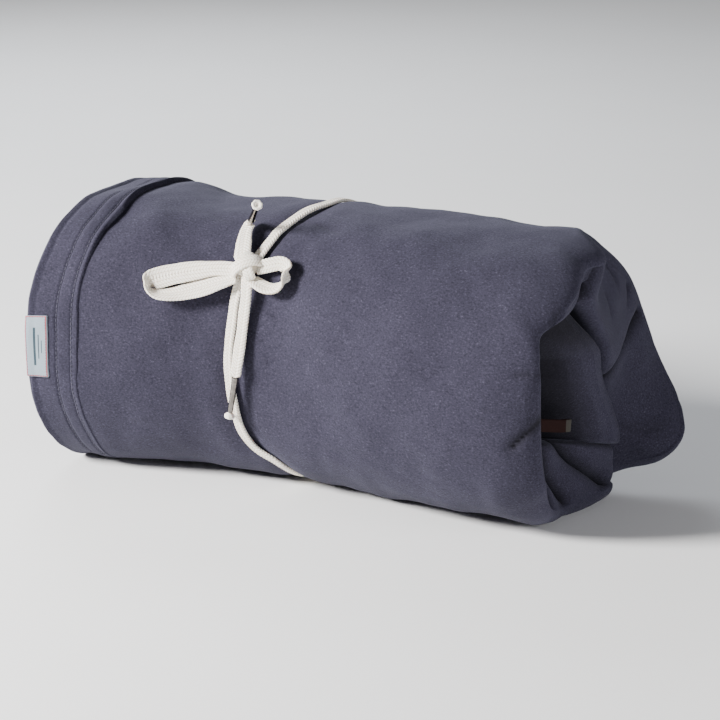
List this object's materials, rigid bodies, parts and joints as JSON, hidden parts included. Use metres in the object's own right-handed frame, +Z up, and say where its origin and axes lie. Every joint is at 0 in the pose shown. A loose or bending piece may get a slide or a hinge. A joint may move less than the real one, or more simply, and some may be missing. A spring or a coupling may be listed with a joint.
{
  "type": "rolled fleece throw blanket",
  "caption": "Folded and rolled sweatshirt-fleece throw blanket, tied once round with a flat cotton drawcord in a bow with metal aglets.",
  "frame": {"origin": "centre of the flat that the roll rests on, midway along it", "axes": "+Z up; +X along the roll, from the hemmed end with the woven label to the end of folds; -Y is the front, where the bow is"},
  "size_m": [0.468, 0.276, 0.2437],
  "materials": {
    "fleece": "matte",
    "thread": "matte",
    "label": "satin",
    "care_tab": "satin",
    "cotton": "matte",
    "metal": "polished"
  },
  "bodies": {
    "roll": {"outer_lap": "fleece", "hem_band": "fleece", "second_lap": "fleece", "core_roll": "fleece", "front_fold": "fleece", "top_fold": "fleece", "rear_fold": "fleece", "closing_hem": "fleece", "hem_stitching_seam": "thread", "hem_stitching_edge": "thread", "woven_label": "label", "label_stitching": "thread", "care_label": "care_tab", "drawcord_wrap": "cotton", "bow_knot": "cotton"},
    "left_loop": {"bow_loop_left": "cotton"},
    "right_loop": {"bow_loop_right": "cotton"},
    "upper_tail": {"tail_upper": "cotton", "aglet_upper": "metal", "cord_tip_upper": "cotton"},
    "lower_tail": {"tail_lower": "cotton", "aglet_lower": "metal", "cord_tip_lower": "cotton"}
  },
  "joints": [
    {"name": "left_loop_lift", "type": "hinge", "parent": "roll", "child": "left_loop", "pos_m": [-0.0675, -0.08307, 0.18273], "axis": [0, 0.4832, 0.8755], "range_deg": [0, 55]},
    {"name": "right_loop_lift", "type": "hinge", "parent": "roll", "child": "right_loop", "pos_m": [-0.0465, -0.08125, 0.18379], "axis": [0, -0.4794, -0.8776], "range_deg": [0, 55]},
    {"name": "upper_tail_lift", "type": "hinge", "parent": "roll", "child": "upper_tail", "pos_m": [-0.0655, -0.0717, 0.19879], "axis": [1, 0, 0], "range_deg": [0, 45]},
    {"name": "lower_tail_lift", "type": "hinge", "parent": "roll", "child": "lower_tail", "pos_m": [-0.0535, -0.08626, 0.17775], "axis": [-1, 0, 0], "range_deg": [0, 80]}
  ]
}
